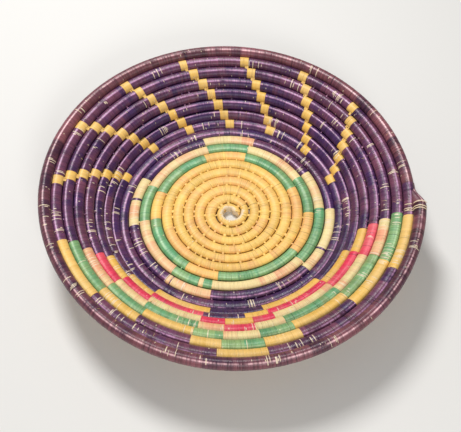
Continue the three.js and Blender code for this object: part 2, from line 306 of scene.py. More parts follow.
class Coil:
    """The coil's path and section, worked out as whole arrays from the sizes. A place in the
    plane of a section is a radius and a height, stacked on the first axis."""

    def __init__(self, sizes):
        """The bowl's surface: each small step outward adds its share of the coil's width,
        laid at the slope there, so radius and height are running sums of cosine and sine."""
        self.sizes = sizes
        count = int((LAST_TURN + 3) * SURFACE_STEPS)
        turns = (np.arange(count) + 0.5) / SURFACE_STEPS
        step = (self.thickness(turns) + sizes.row_gap) / SURFACE_STEPS
        slope = np.radians(bowl_slope(turns))
        self.turns = np.arange(count + 1) / SURFACE_STEPS
        self.radii = sizes.start_radius + np.append(0, np.cumsum(step * np.cos(slope)))
        self.heights = sizes.start_height + np.append(0, np.cumsum(step * np.sin(slope)))

    def thickness(self, turns):
        """Thickness of the coil, which grows evenly from the floor to the wall."""
        grown = smoothstep(turns, GROWS_FROM, GROWS_TO)
        return self.sizes.floor_coil + (self.sizes.wall_coil - self.sizes.floor_coil) * grown

    def line(self, turns):
        """The line between two rows: the spiral on the bowl's surface, moved outward by the
        hand's waves. Before turn 0 it is the edge of the eye."""
        start_turns, start_radii = zip(*START_LINE)
        nearby = (-START_ROUNDING, 0, START_ROUNDING)
        first = sum(np.interp(turns + d, start_turns, start_radii) for d in nearby) / 3 * MM
        early = 1 - smoothstep(turns, start_turns[-2], start_turns[-1])
        radius = np.interp(turns, self.turns, self.radii)
        radius = radius + (first - radius) * early + self.hand(turns)
        eye = np.interp(turns, *zip(*EYE_LINE)) * MM
        height = np.interp(turns, self.turns, self.heights)
        return np.stack([np.where(turns < 0, eye, radius), height])

    def hand(self, turns):
        """How far the maker's hand leaves the spiral: the sum of some waves, each a cosine of
        the azimuth under a bell curve along the coil."""
        return sum(
            size * MM * np.cos(waves * (TAU * turns - np.radians(crest)))
            * np.exp(-(((turns - strongest) / fades) ** 2))
            for size, waves, crest, strongest, fades in HAND_WAVES)

    def open_seam(self, turns):
        """Width of the seam inside a turn: slack towards -Y and around the eye, and wavering
        along the coil as a product of two sines. In the wall the turns press into each other,
        and so do those on the far side of the floor, a little."""
        azimuth = TAU * turns
        eye = smoothstep(turns, 0, START_ROUNDING) * (1 - smoothstep(turns, 1.0, 1.3))
        slack = np.maximum(0.5 - 0.5 * np.cos(azimuth - np.radians(SLACK_FROM)), eye)
        waver = np.sin(SEAM_WAVES[0] * azimuth) * np.sin(SEAM_WAVES[1] * azimuth + 1)
        waver = SEAM_WAVER[0] + SEAM_WAVER[1] * waver
        waver = waver + (EYE_SEAM - waver) * eye
        wall = smoothstep(turns, SEAMS_FROM, SEAMS_TO)
        tight = self.sizes.seam - self.sizes.press * np.maximum(wall, 1 - slack)
        return tight + self.sizes.slack * slack * waver * (1 - SEAMS_TIGHT * wall)

    def section(self, turns):
        """Middle, outward direction, half width and half thickness of the coil's section. It
        lies between the line inside it and the line outside it, less half a seam a side."""
        inner, outer = self.line(turns), self.line(turns + 1)
        span = np.maximum(np.hypot(*(outer - inner)), 1e-6)
        out = (outer - inner) / span
        inside, outside = self.open_seam(turns), self.open_seam(turns + 1)
        middle = (inner + outer + (inside - outside) / 2 * out) / 2
        half = np.maximum(span - (inside + outside) / 2, THINNEST) / 2
        thick = self.thickness(turns + 0.5) / 2
        most, least = EYE_ROUND
        thick = thick * np.where(turns < 0, np.clip(half / thick * most, least, 1), 1)
        return middle, out, half, thick

    def radius(self, turns):
        """Radius of the section's middle."""
        return self.section(turns)[0][0]

    def place(self, turns, point):
        """Points in space at the azimuth of their turns. What would reach below the table
        flattens on it along a soft curve."""
        radius, height = point
        azimuth = TAU * turns
        height = SOFT_FLOOR * np.logaddexp(0, height / SOFT_FLOOR)
        return np.stack([AXIS[0] + radius * np.cos(azimuth), AXIS[1] + radius * np.sin(azimuth),
                         height], -1)

    def oval(self, turns, middle, out, half, thick, around, power):
        """Points on a superellipse about a middle: each half axis times the cosine or sine of
        the angle around it, raised to 2 over the power, with its sign kept."""
        cosine, sine = np.cos(around), np.sin(around)
        x = half * np.sign(cosine) * np.abs(cosine) ** (2 / power)
        y = thick * np.sign(sine) * np.abs(sine) ** (2 / power)
        across, rise = out
        return self.place(turns, middle + np.stack([x * across - y * rise, x * rise + y * across]))

    def skin(self, turns, around, depth=0.0):
        """Points on the coil's skin. around is the angle about the coil's middle, 0 outward
        and a quarter turn up, and depth moves a point inward."""
        middle, out, half, thick = self.section(turns)
        pressed = 1 - smoothstep(turns, GROWS_FROM, GROWS_TO)
        power = SECTION_POWER + FLOOR_POWER * pressed
        return self.oval(turns, middle, out, half - depth, thick - depth, around, power)

    def strand_edges(self):
        """Turns where one strand ends and the next starts, from the coil's length shared out
        in widths that vary by a fifth."""
        fine = np.linspace(FIRST_TURN, LAST_TURN, LENGTH_STEPS)
        middle = self.place(fine, self.section(fine)[0])
        length = np.append(0, np.cumsum(np.linalg.norm(np.diff(middle, axis=0), axis=1)))
        count = int(length[-1] / self.sizes.strand)
        draw = np.random.default_rng(SEED).standard_normal(count)
        draw = np.clip(draw, -WIDEST_DRAW, WIDEST_DRAW)
        ends = np.append(0, np.cumsum(1 + STRAND_SPREAD * draw))
        return np.interp(ends / ends[-1] * length[-1], length, fine), length[-1]


def dye_at(turns, radius):
    """Number of the dye at each place on the coil, by the pattern's rows and azimuths."""
    row = np.floor(turns)
    azimuth = 360 * (turns - row)
    bar_width = np.degrees(BAR_WIDTH / radius)
    dye = np.select([row <= 5, row <= 6, row <= 15], [NATURAL, GREEN, PURPLE], PLUM)
    for star_row, start, end, colour in STAR:
        dye[(row == star_row) & (azimuth >= start) & (azimuth < end)] = colour
    for bar in range(BAR_COUNT):
        first = BAR_STARTS + BAR_SPACING * bar + BAR_STEP * (row - BAR_ROWS[0])
        inside = (azimuth >= first) & (azimuth < first + bar_width)
        dye[inside & (row >= BAR_ROWS[0]) & (row <= BAR_ROWS[1])] = GOLD
    for outermost, starts, ends in BAND_BLOCKS:
        for inward, colour in enumerate(BAND_COLOURS):
            inside = (azimuth >= starts[inward]) & (azimuth < ends[inward])
            dye[inside & (row == outermost - inward)] = colour
    return dye.astype(int)


class Strands:
    """Every strand's place, dye and looks, drawn once from a seeded generator. The strands carry a
    painted highlight where the coil faces up and a little to the front: around the coil that is
    the arctangent of that direction's rise over its share outward, less the bowl's slope."""

    def __init__(self, coil):
        """Works out each strand's place and draws its looks, as arrays with one value each."""
        self.coil = coil
        self.edges, self.length = coil.strand_edges()
        self.middles = (self.edges[:-1] + self.edges[1:]) / 2
        self.dye = dye_at(self.middles, coil.radius(self.middles))
        count = len(self.middles)
        rng = np.random.default_rng(SEED + 1)
        leaf = np.cumsum(rng.random(count) < NEW_LEAF)
        leaf_tone = rng.uniform(-LEAF_TONE, LEAF_TONE, leaf[-1] + 1)
        self.tone = leaf_tone[leaf] + rng.uniform(-LEAF_TONE, LEAF_TONE, count)
        leaf_fade = rng.uniform(-LEAF_FADE, LEAF_FADE, leaf[-1] + 1)
        faded = STRAND_FADE + RIM_FADE * smoothstep(self.middles, FADES_FROM, FADES_TO)
        faded = faded + leaf_fade[leaf] + rng.uniform(-STRAND_FADE, STRAND_FADE, count)
        self.fade = np.clip(faded, 0, 1)
        self.proud = rng.uniform(*PROUD, count)
        # The painted highlight lies where the coil faces up and a little towards -Y, the front
        outward = -np.cos(HIGHLIGHT_FROM) * np.sin(TAU * self.middles)
        facing = np.degrees(np.arctan2(np.sin(HIGHLIGHT_FROM), outward))
        self.crest = (facing - bowl_slope(self.middles + 0.5)) / 360
        self.draw_nicks(rng, count)
        split = rng.random(count) < SPLIT_SHARES[self.dye]
        self.split = np.where(split, rng.uniform(*SPLIT_DEPTHS, count), 0)

    def draw_nicks(self, rng, count):
        """Where around the coil a strand's dye is worn off, over what share of its girth, and
        whether over its whole width. Worn strands come in clusters, more of them towards -Y,
        with a few by themselves, and near the side with the painted highlight. All around the
        eye the strands carry painted light: pale on the side that faces it, which lies in shade."""
        outer = np.flatnonzero(self.middles > CLUSTERS_FROM)
        often = 1 - NICKS_NEAR * np.sin(TAU * self.middles[outer])
        clusters = rng.choice(outer, NICK_CLUSTERS, p=often / often.sum())
        reach = rng.integers(1, CLUSTER_REACH + 1, NICK_CLUSTERS)
        index = np.arange(count)
        near = (np.abs(index[:, None] - clusters) < reach).any(1)
        draw = rng.random(count)
        rung = near & (draw < RUNG_SHARE)
        dot = ~rung & (draw > 1 - np.where(index < outer[0], *DOT_SHARES))
        self.nick_and_light_at = self.crest + np.where(
            rung, rng.uniform(*RUNG_PLACES, count), rng.uniform(*DOT_PLACES, count))
        self.nick_and_light_size = (rung * rng.uniform(*RUNG_SIZES, count)
                          + dot * rng.uniform(*DOT_SIZES, count))
        # Painted light: the eye's inner side is painted pale with a nick's mask, over the whole
        # width
        eye = self.middles < EYE_ENDS
        self.nick_and_light_at[eye] = EYE_LIGHT_PLACE
        self.nick_and_light_size[eye] = rng.uniform(*EYE_LIGHT_SIZES, eye.sum())
        self.nick_and_light_wide = eye | rung & (rng.random(count) < WIDE_SHARE)

    def lengths(self):
        """Length along the coil at each strand's edge, as if all strands were equally wide."""
        return np.linspace(0, self.length, len(self.edges))

    def index_at(self, turns):
        """Number of the strand at a place on the coil."""
        return np.clip(np.searchsorted(self.edges, turns) - 1, 0, len(self.middles) - 1)

    def dye_near(self, turns):
        """Dye of the strand at a place on the coil."""
        return self.dye[self.index_at(turns)]

    def face_values(self, first, last):
        """Values of strands first to last for every face of their sleeve, ring by ring. A
        narrow nick keeps to the strand's crown, and a split darkens its groove."""
        looks = np.stack([self.tone, self.fade, self.crest, self.nick_and_light_at, self.nick_and_light_size], -1)
        values = np.repeat(looks[first:last, None, :], len(STRAND_RINGS), axis=1)
        values[:, 0, 0] -= self.split[first:last]
        values[:, ::2, 4] *= self.nick_and_light_wide[first:last, None]
        return np.repeat(values.reshape(-1, len(Shell.FACE_VALUES)), SIDES, axis=0)


class Shell:
    """Collects quads with their UV and face values, and makes one mesh of them. The values
    are a strand's tone and fading, where around the coil its painted highlight lies, and where
    and over how much of the girth it is worn; around the eye these mark painted light instead.
    PLAIN are those of faces on no strand."""

    FACE_VALUES = ("tone", "fade", "crest", "nick_and_light_at", "nick_and_light_size")
    PLAIN = (0.0, 0.5, 0.25, 0.0, 0.0)

    def __init__(self):
        """Starts with no points and no quads."""
        self.points = []
        self.quads = []
        self.uvs = []
        self.values = []
        self.count = 0

    def add(self, points, quads, uv, values):
        """Adds points (n, 3), quads (m, 4), uv (n, 2) by point, and values (m, 5) by face.
        Where a quad closes the girth, its low corners count on from the end of the girth."""
        corners = uv[quads]
        around = corners[..., 1]
        closes = np.ptp(around, axis=1, keepdims=True) > GIRTH / 2
        around += GIRTH * (closes & (around < GIRTH / 2))
        self.points.append(points)
        self.quads.append(quads + self.count)
        self.uvs.append(corners)
        self.values.append(values)
        self.count += len(points)

    def build(self, name, material, nodes=()):
        """One mesh object at the origin, with its UV map and its face attributes, tied to the body
        and to its material slot. It hides the solids that it stands for."""
        points = np.concatenate(self.points)
        quads = np.concatenate(self.quads)
        mesh = bpy.data.meshes.new(name)
        mesh.vertices.add(len(points))
        mesh.vertices.foreach_set("co", points.astype(np.float32).ravel())
        mesh.loops.add(quads.size)
        mesh.loops.foreach_set("vertex_index", quads.astype(np.int32).ravel())
        mesh.polygons.add(len(quads))
        mesh.polygons.foreach_set("loop_start", np.arange(0, quads.size, 4, dtype=np.int32))
        mesh.update(calc_edges=True)
        mesh.polygons.foreach_set("use_smooth", np.ones(len(quads), bool))
        uv = np.concatenate(self.uvs).astype(np.float32)
        mesh.uv_layers.new(name="UVMap").data.foreach_set("uv", uv.ravel())
        values = np.concatenate(self.values).astype(np.float32)
        for column, label in enumerate(self.FACE_VALUES):
            layer = mesh.attributes.new(label, "FLOAT", "FACE")
            layer.data.foreach_set("value", np.ascontiguousarray(values[:, column]))
        mesh.materials.append(material)
        if mesh.validate():
            raise RuntimeError(f"{name} has broken faces")
        piece = bpy.data.objects.new(name, mesh)
        bpy.context.scene.collection.objects.link(piece)
        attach(piece, "root")
        if nodes:
            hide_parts(*nodes)


def ring_angles(sides):
    """Angles of the points around a ring, from the outer side on."""
    return np.arange(sides) * TAU / sides


def tube_uv(along, around):
    """UV of rings of points: the length along the tube, and the length around it on a girth
    that is the same everywhere."""
    return np.stack(np.broadcast_arrays(along[:, None], around / TAU * GIRTH), -1).reshape(-1, 2)


def wall_quads(rings, sides, inward=False):
    """Quads between neighbouring rings of points, facing away from the middle of the tube."""
    ring = np.arange(rings - 1)[:, None] * sides
    side = np.arange(sides)[None, :]
    beside = (side + 1) % sides
    quads = np.stack([ring + side, ring + sides + side, ring + sides + beside, ring + beside], -1)
    quads = quads.reshape(-1, 4)
    return quads[:, ::-1] if inward else quads


def cap_quads(first, sides, at_start):
    """Quads that close an even ring, each from its first point to three others in turn."""
    corner = np.arange(sides // 2 - 1) * 2
    quads = first + np.stack([corner * 0, corner + 1, corner + 2, corner + 3], -1)
    return quads if at_start else quads[:, ::-1]


def rim_quads(outer, inner, sides, at_start):
    """Quads across a sleeve's end, from its outer ring to its inner ring."""
    side = np.arange(sides)
    beside = (side + 1) % sides
    quads = np.stack([outer + side, outer + beside, inner + beside, inner + side], -1)
    return quads if at_start else quads[:, ::-1]


def tube_quads(rings, sides):
    """Quads of a tube that is closed at both ends."""
    return np.concatenate([wall_quads(rings, sides), cap_quads(0, sides, True),
                           cap_quads((rings - 1) * sides, sides, False)])


def runs_of(chosen):
    """First strand and past-the-last strand of each unbroken stretch of chosen strands."""
    edge = np.diff(np.concatenate([[0], chosen.astype(int), [0]]))
    return zip(np.flatnonzero(edge == 1), np.flatnonzero(edge == -1))


def add_sleeve(shell, strands, first, last):
    """Adds a closed sleeve of strands first to last. Along the coil each strand has a groove
    ring at its edge and two rings on its crown; around it, the strand leans by a cosine."""
    coil, sizes = strands.coil, strands.coil.sizes
    edges = strands.edges[first:last + 1]
    width = np.diff(edges)
    shares = np.array(STRAND_RINGS)
    turns = np.append((edges[:-1, None] + width[:, None] * shares).ravel(), edges[-1])
    trim = SLEEVE_TRIM * width.min()
    turns[0] += trim
    turns[-1] -= trim
    crown = np.where(shares > 0, 0, sizes.relief)[None, :] - strands.proud[first:last, None]
    depth = np.append(crown.ravel(), sizes.relief)
    around = ring_angles(SIDES)
    lean = 0.5 * (sizes.lean / (TAU * coil.radius(turns)))[:, None] * np.cos(around)

    def ring_points(rows, inset):
        """Points of some of the rings, at a depth."""
        return coil.skin(turns[rows, None] + lean[rows], around, inset).reshape(-1, 3)

    every = np.arange(len(turns))
    bore = np.unique(np.append(every[::len(shares) * BORE_EVERY], every[-1]))
    outer = ring_points(every, depth[:, None])
    inner = ring_points(bore, sizes.wrap)
    points = np.concatenate([outer, inner])
    quads = np.concatenate([
        wall_quads(len(every), SIDES),
        wall_quads(len(bore), SIDES, inward=True) + len(outer),
        rim_quads(0, len(outer), SIDES, True),
        rim_quads(len(outer) - SIDES, len(points) - SIDES, SIDES, False)])
    along = np.interp(turns, strands.edges, strands.lengths())
    uv = tube_uv(np.concatenate([along, along[bore]]), around)
    by_strand = strands.face_values(first, last)
    rest = np.tile(shell.PLAIN, (len(quads) - len(by_strand), 1))
    shell.add(points, quads, uv, np.concatenate([by_strand, rest]))


def add_ribbons(shell, turns, middles, half_width, half_depth, values, flip=1):
    """Adds flat ribbons. middles (n, k, 3) are points along each ribbon, and half_width (n, k)
    tapers it. Across it is the coil's direction at its turn, less that direction's share along
    the ribbon, and up is square to both. Its section has six corners: one at each edge and two
    on each face, at the ends of its flat part."""
    azimuth = TAU * turns[:, None]
    side = flip * np.stack([-np.sin(azimuth), np.cos(azimuth), 0 * azimuth], -1)
    ahead = np.gradient(middles, axis=1)
    ahead /= np.linalg.norm(ahead, axis=2, keepdims=True)
    across = side - ahead * (side * ahead).sum(2, keepdims=True)
    across /= np.linalg.norm(across, axis=2, keepdims=True)
    up = np.cross(across, ahead)
    flat = RIBBON_FLAT
    corner = np.array([(1, 0), (flat, 1), (-flat, 1), (-1, 0), (-flat, -1), (flat, -1)])
    count, steps = middles.shape[:2]
    sides = len(corner)
    offset = (across[:, :, None] * (corner[:, 0] * half_width[..., None])[..., None]
              + up[:, :, None] * (corner[:, 1] * half_depth)[:, None])
    points = (middles[:, :, None] + offset).reshape(-1, 3)
    one = tube_quads(steps, sides)
    quads = (one[None] + (np.arange(count) * steps * sides)[:, None, None]).reshape(-1, 4)
    along = np.linspace(0, 1, steps)[None, :, None] * RIBBON_LENGTH * GIRTH
    beside = np.arange(count)[:, None, None] * RIBBON_SHIFT + corner[:, 0] * RIBBON_HALF
    uv = np.stack(np.broadcast_arrays(beside, along), -1).reshape(-1, 2)
    shell.add(points, quads, uv, np.repeat(values, len(one), axis=0))


def stitch_turns(strands):
    """Turns where a stitch binds a row to the row inside it: every 5 mm or more, and three
    times more seldom in the wall. Only rows of one dye show it."""
    rng = np.random.default_rng(SEED + 2)
    place = np.cumsum(rng.uniform(*STITCH_SPACING, STITCH_DRAWS)
                      + rng.exponential(STITCH_STRAYS, STITCH_DRAWS))
    turns = np.interp(place[place < strands.length], strands.lengths(), strands.edges)
    wall = turns > STAR_ROWS[1] + 1
    turns = turns[(turns > 0.02) & (~wall | (rng.random(len(turns)) < WALL_STITCHES))]
    return turns[strands.dye_near(turns) == strands.dye_near(turns - 1)]


def link_turns(strands):
    """Turns where three stitches side by side link each block of the bars to the next one."""
    rows = np.arange(BAR_ROWS[0] + 1, BAR_ROWS[1] + 1)
    bars = np.arange(BAR_COUNT)[:, None]
    start = rows + (BAR_STARTS + BAR_SPACING * bars + BAR_STEP * (rows - BAR_ROWS[0])) / 360
    width = strands.coil.sizes.stitch / (TAU * strands.coil.radius(start))
    return np.concatenate([(start + width * share).ravel() for share in LINK_PLACES])


def add_stitches(shell, strands, turns, under):
    """Adds stitches from the shoulder of a row across the seam to the shoulder of the row
    inside it: a parabola from one shoulder to the other that dips a little between them. Those
    of the floor's middle are wider."""
    coil, sizes = strands.coil, strands.coil.sizes
    rng = np.random.default_rng(SEED + 3 + under)
    flip = -1 if under else 1
    count = len(turns)
    slip = rng.uniform(*STITCH_SLIPS, count) * sizes.stitch
    middle, out, _, thick = coil.section(turns)
    near = turns - 1 - slip / (TAU * middle[0])
    outer_angle = flip * np.radians(rng.uniform(*OUTER_SHOULDER, count))
    inner_angle = flip * np.radians(rng.uniform(*INNER_SHOULDER, count))
    outer_side = coil.skin(turns, outer_angle, STITCH_SUNK)[:, None]
    inner_side = coil.skin(near, inner_angle, STITCH_SUNK)[:, None]
    up = flip * np.stack([-out[1], out[0]])
    dip = coil.line(turns) + STITCH_DIP * thick * up
    dip = coil.place((turns + near + 1) / 2, dip)[:, None]
    share = np.linspace(0, 1, STITCH_STEPS)[None, :, None]
    middles = ((1 - share) ** 2 * outer_side + 2 * share * (1 - share) * dip
               + share ** 2 * inner_side)
    taper = 1 - STITCH_TAPER * np.linspace(-1, 1, STITCH_STEPS) ** 2
    wide = np.where(turns < STAR_ROWS[0], MIDDLE_STITCH, 1) * rng.uniform(*STITCH_WIDTHS, count)
    index = strands.index_at(turns)
    values = np.stack([strands.tone[index] - STITCH_DARK, strands.fade[index],
                       strands.crest[index], 0 * turns, 0 * turns], -1)
    half = sizes.stitch / 2 * wide[:, None] * taper
    add_ribbons(shell, turns, middles, half, STITCH_DEPTH, values, flip)


def node_names(*starts):
    """Names of the frame's nodes that start with any of these."""
    return [name for name in sorted(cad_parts) if name.startswith(tuple(starts))]


def wrap_piece(context, name, dye, rows, nodes):
    """Makes one piece: every strand of a dye in some rows, with the stitches that belong to
    them."""
    strands = Strands(Coil(context.scene.basket_sizes))
    row = np.floor(strands.middles)
    chosen = (strands.dye == dye) & (row >= rows[0]) & (row <= rows[1])
    shell = Shell()
    for first, last in runs_of(chosen):
        add_sleeve(shell, strands, first, last)
    turns = np.concatenate([stitch_turns(strands), link_turns(strands)])
    turns = turns[chosen[strands.index_at(turns)]]
    if len(turns):
        add_stitches(shell, strands, turns, under=False)
        add_stitches(shell, strands, turns[turns > EYE_STITCHES], under=True)
    shell.build(name, leaf_material(context, DYES[dye]), nodes)


class Nodes:
    """Short calls for building a node tree."""

    def __init__(self, tree):
        """Works on one node tree."""
        self.tree = tree

    def add(self, kind, values=(), **settings):
        """A node with its settings, and its inputs set or linked in order."""
        node = self.tree.nodes.new(kind)
        for key, value in settings.items():
            setattr(node, key, value)
        for key, value in dict(values).items():
            if isinstance(value, bpy.types.NodeSocket):
                self.tree.links.new(value, node.inputs[key])
            else:
                node.inputs[key].default_value = value
        return node

    def math(self, operation, *inputs, clamp=False):
        """A maths node's result."""
        return self.add("ShaderNodeMath", enumerate(inputs), operation=operation,
                        use_clamp=clamp).outputs[0]

    def ramp(self, value, low, high, to_low=0.0, to_high=1.0):
        """Value mapped smoothly from low..high to to_low..to_high."""
        inputs = {"Value": value, "From Min": low, "From Max": high,
                  "To Min": to_low, "To Max": to_high}
        return self.add("ShaderNodeMapRange", inputs, interpolation_type="SMOOTHSTEP").outputs[0]

    def mix(self, share, first, second):
        """Two colours mixed by a share."""
        inputs = {0: share, 6: first, 7: second}
        return self.add("ShaderNodeMix", inputs, data_type="RGBA", clamp_factor=True).outputs[2]


def new_group(name, inputs, outputs):
    """A new shader node group, the calls for its nodes, its inputs and its outputs. A socket is
    given with the number that it starts at, or with its kind."""
    group = bpy.data.node_groups.new(name, "ShaderNodeTree")
    for way, sockets in (("INPUT", inputs), ("OUTPUT", outputs)):
        for label, value in sockets.items():
            kind = value if isinstance(value, str) else "Float"
            socket = group.interface.new_socket(label, in_out=way, socket_type=f"NodeSocket{kind}")
            if kind == "Float":
                socket.default_value = value
    tools = Nodes(group)
    return group, tools, tools.add("NodeGroupInput").outputs, tools.add("NodeGroupOutput").inputs


def leaf_fibre_group():
    """Fine fibres that run along a strand, so across the coil: noise stretched around the
    girth. Grain is the fine pattern from 0 to 1 and Blotch a broad one."""
    if "Leaf fibre" in bpy.data.node_groups:
        return bpy.data.node_groups["Leaf fibre"]
    group, tools, given, result = new_group(
        "Leaf fibre", {"Map": "Vector", "Fibres": 4200.0, "Length": 260.0, "Blotches": 70.0},
        {"Grain": 0.0, "Blotch": 0.0})
    scale = tools.add("ShaderNodeCombineXYZ", {"X": given["Fibres"], "Y": given["Length"]})
    fine = tools.add("ShaderNodeVectorMath", {0: given["Map"], 1: scale.outputs[0]},
                     operation="MULTIPLY")
    grain = tools.add("ShaderNodeTexNoise", {"Vector": fine.outputs[0], "Scale": 1.0,
                                             "Detail": 3.0, "Roughness": 0.6},
                      noise_dimensions="2D")
    broad = tools.add("ShaderNodeTexNoise", {"Vector": given["Map"], "Scale": given["Blotches"],
                                             "Detail": 3.0}, noise_dimensions="2D")
    tools.tree.links.new(tools.ramp(grain.outputs[0], 0.25, 0.75), result["Grain"])
    tools.tree.links.new(tools.ramp(broad.outputs[0], 0.3, 0.7), result["Blotch"])
    return group


SMALLEST_NICK = 0.005       # a strand with a smaller nick has none


def nick_and_light_group():
    """Mask of the pale stretch of a strand, for a worn nick and for the painted light on the eye's
    inner side: 1 where the distance around the girth from its middle is under its size."""
    if "Worn nick and painted light" in bpy.data.node_groups:
        return bpy.data.node_groups["Worn nick and painted light"]
    group, tools, given, result = new_group(
        "Worn nick and painted light", {"Around": 0.0, "At": 0.0, "Size": 0.0, "Softness": 0.015}, {"Mask": 0.0})
    away = tools.math("WRAP", tools.math("SUBTRACT", given["Around"], given["At"]), 0.5, -0.5)
    inner = tools.math("SUBTRACT", given["Size"], given["Softness"])
    outer = tools.math("ADD", given["Size"], given["Softness"])
    mask = tools.ramp(tools.math("ABSOLUTE", away), inner, outer, 1.0, 0.0)
    there = tools.math("GREATER_THAN", given["Size"], SMALLEST_NICK)
    tools.tree.links.new(tools.math("MULTIPLY", mask, there), result["Mask"])
    return group


BLOTCH_FADE = 0.5           # how much the blotches vary the fading
FLANK_EDGE = (-0.07, -0.01)         # from the crest to where the outer flank starts, in girths
FLANK_FADE = (0.65, -0.35)          # fading on the outer flank and on the rest
PATCH_TONE, PATCH_BASE = 0.35, 0.25         # how tone and blotches break the painted highlight into patches
SEAM_EDGE = 0.86            # cosine around the coil where the painted shade of the seam starts


def strand_dye_group():
    """Colour of a dyed strand: mixed to its faded colour, more on the outer flank, with a painted
    highlight in patches along the side that faces up and a little to the front, painted shade down
    in the seams but not where the outer side is free, and lighter or darker by its tone and
    fibres."""
    if "Strand dye" in bpy.data.node_groups:
        return bpy.data.node_groups["Strand dye"]
    group, tools, given, result = new_group(
        "Strand dye",
        {"Dye": "Color", "Faded": "Color", "Fade": 0.0, "Tone": 0.0, "Grain": 0.5, "Blotch": 0.5,
         "Around": 0.25, "Tone range": 0.16, "Grain range": 0.2, "Seam shade": 0.5,
         "Highlight colour": "Color", "Highlight": 0.4, "Crest": 0.25, "Crest width": 0.045, "Flank": 0.0,
         "Free side": 0.0},
        {"Color": "Color"})
    inward = tools.math("WRAP", tools.math("SUBTRACT", given["Around"], given["Crest"]), 0.5, -0.5)
    fade = tools.math("ADD", given["Fade"],
                      tools.math("MULTIPLY_ADD", given["Blotch"], BLOTCH_FADE,
                                 -BLOTCH_FADE / 2))
    flank = tools.ramp(inward, *FLANK_EDGE, *FLANK_FADE)
    fade = tools.math("MULTIPLY_ADD", flank, given["Flank"], fade, clamp=True)
    colour = tools.mix(fade, given["Dye"], given["Faded"])
    patch = tools.math("MULTIPLY_ADD", given["Tone"], PATCH_TONE,
                       tools.math("ADD", given["Blotch"], PATCH_BASE), clamp=True)
    # Painted highlight: a pale line along that side, broken into patches
    crest = tools.ramp(tools.math("ABSOLUTE", inward), 0.0, given["Crest width"], 1.0, 0.0)
    highlight_mix = tools.math("MULTIPLY", tools.math("MULTIPLY", crest, patch), given["Highlight"])
    colour = tools.mix(highlight_mix, colour, given["Highlight colour"])
    tone = tools.math("MULTIPLY_ADD", given["Tone"], given["Tone range"], 1.0)
    grain = tools.math("SUBTRACT", given["Grain"], 0.5)
    tone = tools.math("MULTIPLY_ADD", grain, given["Grain range"], tone)
    # Painted shade down in the seams between rows, on the outer and inner sides of the coil, left
    # off an outer side that is free
    side = tools.math("COSINE", tools.math("MULTIPLY", given["Around"], TAU))
    outer = tools.math("MULTIPLY", side, tools.math("SUBTRACT", 1.0, given["Free side"]))
    inner = tools.math("MULTIPLY", side, -1.0)
    seam = tools.ramp(tools.math("MAXIMUM", outer, inner), SEAM_EDGE, 1.0)
    keep = tools.math("SUBTRACT", 1.0, tools.math("MULTIPLY", seam, given["Seam shade"]))
    shade = tools.math("MULTIPLY", tone, keep)
    scaled = tools.add("ShaderNodeVectorMath", {0: colour, "Scale": shade}, operation="SCALE")
    tools.tree.links.new(scaled.outputs[0], result["Color"])
    return group


# What all leaves share
NICK_AND_LIGHT_PALENESS = 0.85            # how pale the leaf is where a nick has worn it, and where light is painted on the eye's inner side
LEAF_GLOSS = 0.16           # how much the fibres vary the roughness
LEAF_BUMP = (0.5, 0.06 * MM)        # strength and depth of the fibres

# The grass stems
STEM_DARK = 0.55            # brightness of the dark streaks against the pale ones
STEM_ROUGH = 0.85
STEM_BUMP = (0.6, 0.1 * MM)

# How each dye's leaf looks: faded colour, colour of the painted highlight, the values of the
# inputs named below, and roughness
# The first two inputs set the painted highlight's strength and width; the last sets the painted
# shade in the seams
FINISH_INPUTS = ("Highlight", "Crest width", "Flank", "Tone range", "Grain range", "Seam shade")
FINISHES = {
    "natural": ("#f0b070", "#ffe096", 0.35, 0.045, 0.0, 0.14, 0.18, 0.45, 0.50),
    "gold": ("#f3c878", "#ffe39a", 0.35, 0.045, 0.0, 0.10, 0.14, 0.60, 0.48),
    "cream": ("#f2a67e", "#fff2c8", 0.35, 0.045, 0.0, 0.08, 0.14, 0.55, 0.52),
    "green": ("#94b274", "#c8e6ba", 0.60, 0.045, 0.0, 0.22, 0.26, 0.60, 0.38),
    "pink": ("#ee6c74", "#ff8ea2", 0.40, 0.045, 0.0, 0.16, 0.18, 0.60, 0.40),
    "purple": ("#744259", "#d09ec4", 0.88, 0.036, 0.0, 0.34, 0.30, 0.85, 0.32),
    "plum": ("#7e4a52", "#eec0c4", 0.90, 0.036, 0.3, 0.44, 0.40, 0.85, 0.34),
}


def fibre_material(name, **pattern):
    """A new material, the calls for its nodes, its UV place and its fibre pattern."""
    material = bpy.data.materials.new(name)
    material.use_nodes = True
    material.node_tree.nodes.clear()
    tools = Nodes(material.node_tree)
    place = tools.add("ShaderNodeUVMap", uv_map="UVMap").outputs[0]
    fibre = tools.add("ShaderNodeGroup", {"Map": place, **pattern},
                      node_tree=leaf_fibre_group())
    return material, tools, place, fibre.outputs


def add_surface(tools, base, roughness, height, strength, depth):
    """Ends a material: a surface that the height lifts by a depth, at some strength."""
    bump = tools.add("ShaderNodeBump", {"Strength": strength, "Distance": depth,
                                        "Height": height})
    shader = tools.add("ShaderNodeBsdfPrincipled", {"Base Color": base, "Roughness": roughness,
                                                    "Normal": bump.outputs[0]})
    tools.add("ShaderNodeOutputMaterial", {"Surface": shader.outputs[0]})


